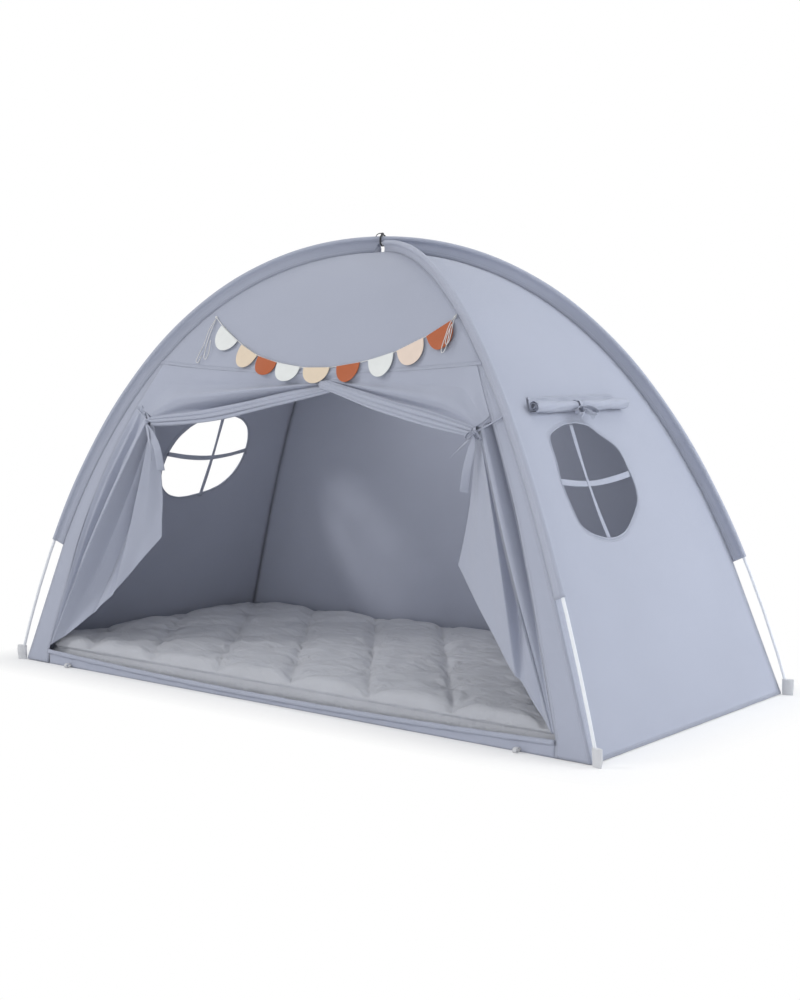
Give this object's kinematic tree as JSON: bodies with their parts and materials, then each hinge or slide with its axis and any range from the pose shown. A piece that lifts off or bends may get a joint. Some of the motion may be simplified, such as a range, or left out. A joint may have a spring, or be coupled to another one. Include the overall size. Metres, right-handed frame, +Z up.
{
  "type": "play tent",
  "caption": "Child's indoor play tent: two crossed arched poles in cloth sleeves, tied-back door curtains, side windows with rolled covers, bunting and a tufted floor mat.",
  "frame": {"origin": "on the ground under the crossing of the poles, in the middle of the floor", "axes": "+X along the width to the right as seen from the door, -Y towards the door, +Z up"},
  "size_m": [2.0252, 0.9713, 1.224],
  "materials": {
    "pole_white": "white glass-fibre tube, semi-gloss",
    "ferrule_metal": "bare metal sleeve, satin",
    "cord_white": "white braided or twisted cord",
    "webbing": "woven tape",
    "cloth": "plain woven polyester, matt with a slight sheen",
    "lining": "coated floor cloth, matt",
    "mat": "padded cotton cover, matt",
    "tie_dark": "dark cord",
    "white": "felt",
    "cream": "felt",
    "rust": "felt",
    "peach": "felt"
  },
  "bodies": {
    "tent": {"pole_a_section_1": "pole_white", "pole_a_section_2": "pole_white", "pole_a_section_3": "pole_white", "pole_a_section_4": "pole_white", "pole_a_section_5": "pole_white", "pole_a_ferrule_1": "ferrule_metal", "pole_a_ferrule_2": "ferrule_metal", "pole_a_ferrule_3": "ferrule_metal", "pole_a_ferrule_4": "ferrule_metal", "shock_cord_a": "cord_white", "pole_b_section_1": "pole_white", "pole_b_section_2": "pole_white", "pole_b_section_3": "pole_white", "pole_b_section_4": "pole_white", "pole_b_section_5": "pole_white", "pole_b_ferrule_1": "ferrule_metal", "pole_b_ferrule_2": "ferrule_metal", "pole_b_ferrule_3": "ferrule_metal", "pole_b_ferrule_4": "ferrule_metal", "shock_cord_b": "cord_white", "corner_pocket_front_left": "webbing", "corner_pocket_front_right": "webbing", "corner_pocket_back_left": "webbing", "corner_pocket_back_right": "webbing", "front_wall": "cloth", "back_wall": "cloth", "left_wall": "cloth", "right_wall": "cloth", "sleeve_over": "cloth", "sleeve_under_back_left": "cloth", "sleeve_under_front_right": "cloth", "floor_sheet": "lining", "floor_mat": "mat", "apex_patch": "lining", "apex_tie": "tie_dark", "bunting_string": "cord_white", "left_curtain": "cloth", "left_tie_back": "webbing", "left_window_frame": "webbing", "left_peg_loop": "webbing", "right_curtain": "cloth", "right_tie_back": "webbing", "right_window_frame": "webbing", "right_peg_loop": "webbing"},
    "left_cover": {"left_window_cover": "cloth", "left_cover_tie": "webbing"},
    "right_cover": {"right_window_cover": "cloth", "right_cover_tie": "webbing"},
    "left_free_panel": {"left_curtain_free_panel": "cloth"},
    "right_free_panel": {"right_curtain_free_panel": "cloth"},
    "flag_1": {"flag_1": "white"},
    "flag_2": {"flag_2": "cream"},
    "flag_3": {"flag_3": "rust"},
    "flag_4": {"flag_4": "white"},
    "flag_5": {"flag_5": "cream"},
    "flag_6": {"flag_6": "rust"},
    "flag_7": {"flag_7": "white"},
    "flag_8": {"flag_8": "peach"},
    "flag_9": {"flag_9": "rust"}
  },
  "joints": [
    {"name": "left_cover_lift", "type": "hinge", "parent": "tent", "child": "left_cover", "pos_m": [-0.62245, 0.02, 0.79138], "axis": [0, 1, 0], "range_deg": [0, 60]},
    {"name": "right_cover_lift", "type": "hinge", "parent": "tent", "child": "right_cover", "pos_m": [0.62245, -0.02, 0.79138], "axis": [0, -1, 0], "range_deg": [0, 60]},
    {"name": "left_free_panel_swing", "type": "hinge", "parent": "tent", "child": "left_free_panel", "pos_m": [-0.87444, -0.4621, 0.0553], "axis": [-0.4123, -0.1289, -0.9019], "range_deg": [-15, 30]},
    {"name": "right_free_panel_swing", "type": "hinge", "parent": "tent", "child": "right_free_panel", "pos_m": [0.87444, -0.4621, 0.0553], "axis": [-0.4123, 0.1289, 0.9019], "range_deg": [-15, 30]},
    {"name": "flag_1_lift", "type": "hinge", "parent": "tent", "child": "flag_1", "pos_m": [-0.31586, -0.27148, 0.94976], "axis": [-0.87, 0.2161, 0.4432], "range_deg": [0, 95]},
    {"name": "flag_2_lift", "type": "hinge", "parent": "tent", "child": "flag_2", "pos_m": [-0.22889, -0.29032, 0.91112], "axis": [-0.9212, 0.1705, 0.3497], "range_deg": [0, 95]},
    {"name": "flag_3_lift", "type": "hinge", "parent": "tent", "child": "flag_3", "pos_m": [-0.14193, -0.30146, 0.88362], "axis": [-0.966, 0.0944, 0.2405], "range_deg": [0, 95]},
    {"name": "flag_4_lift", "type": "hinge", "parent": "tent", "child": "flag_4", "pos_m": [-0.05496, -0.30774, 0.86763], "axis": [-0.992, 0.0462, 0.1177], "range_deg": [0, 95]},
    {"name": "flag_5_lift", "type": "hinge", "parent": "tent", "child": "flag_5", "pos_m": [0.032, -0.30957, 0.86298], "axis": [-0.9999, -0.0046, -0.0116], "range_deg": [0, 95]},
    {"name": "flag_6_lift", "type": "hinge", "parent": "tent", "child": "flag_6", "pos_m": [0.11896, -0.30695, 0.86965], "axis": [-0.9886, -0.0551, -0.1403], "range_deg": [0, 95]},
    {"name": "flag_7_lift", "type": "hinge", "parent": "tent", "child": "flag_7", "pos_m": [0.20593, -0.29988, 0.88765], "axis": [-0.9598, -0.1026, -0.2612], "range_deg": [0, 95]},
    {"name": "flag_8_lift", "type": "hinge", "parent": "tent", "child": "flag_8", "pos_m": [0.29289, -0.28737, 0.91717], "axis": [-0.9124, -0.1794, -0.368], "range_deg": [0, 95]},
    {"name": "flag_9_lift", "type": "hinge", "parent": "tent", "child": "flag_9", "pos_m": [0.37986, -0.26754, 0.95784], "axis": [-0.8603, -0.2234, -0.4583], "range_deg": [0, 95]}
  ]
}
